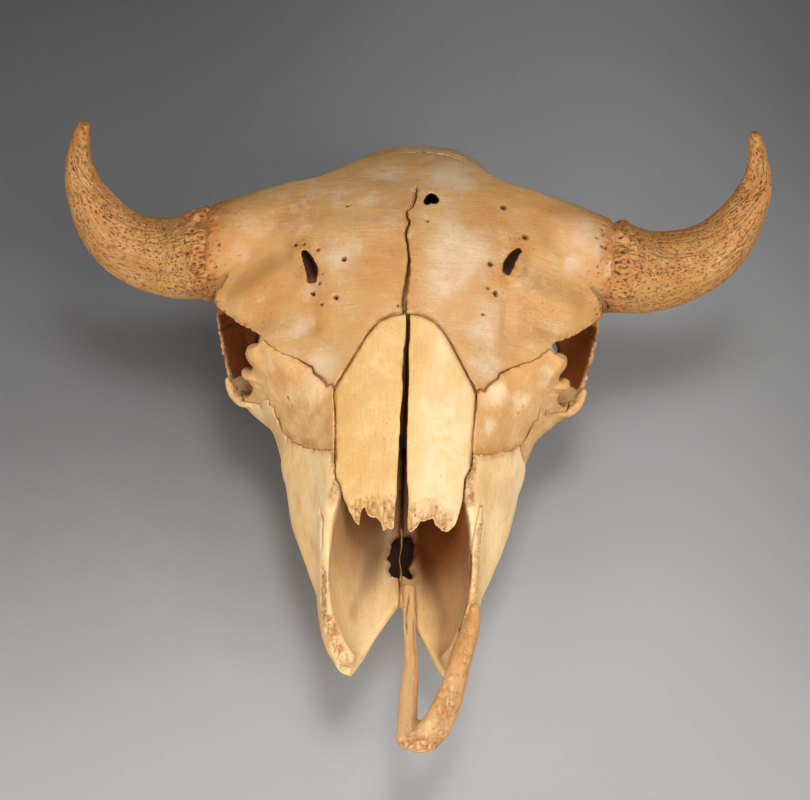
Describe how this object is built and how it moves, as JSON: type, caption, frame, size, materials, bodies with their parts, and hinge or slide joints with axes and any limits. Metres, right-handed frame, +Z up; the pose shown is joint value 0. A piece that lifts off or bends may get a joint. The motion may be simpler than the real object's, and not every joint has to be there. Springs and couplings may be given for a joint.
{
  "type": "buffalo skull",
  "caption": "Skull of a bison bull with bare horn cores, upper cheek teeth and open nose, without its lower jaw, resting on its teeth and base.",
  "frame": {"origin": "centre of the bounding box in plan, on the level that the skull rests on", "axes": "+X to the animal's left across the horns, +Y from the nose to the back of the head, +Z up; the skull rests nose up on its last molars and jugular processes"},
  "size_m": [0.5752, 0.5386, 0.2416],
  "materials": {
    "horn_core": "dry bone, matt",
    "frontal": "dry bone, matt",
    "nasal": "dry bone, matt",
    "lacrimal": "dry bone, matt",
    "zygomatic": "dry bone, matt",
    "maxilla": "dry bone, matt",
    "premaxilla": "dry bone, matt",
    "palatine": "dry bone, matt",
    "braincase": "dry bone, matt"
  },
  "bodies": {
    "root": {"horn_core_left": "horn_core", "horn_core_right": "horn_core", "frontal_left": "frontal", "frontal_right": "frontal", "nasal_left": "nasal", "nasal_right": "nasal", "lacrimal_left": "lacrimal", "lacrimal_right": "lacrimal", "zygomatic_left": "zygomatic", "zygomatic_right": "zygomatic", "maxilla_left": "maxilla", "maxilla_right": "maxilla", "premaxilla_left": "premaxilla", "palatine": "palatine", "braincase": "braincase"}
  },
  "joints": []
}
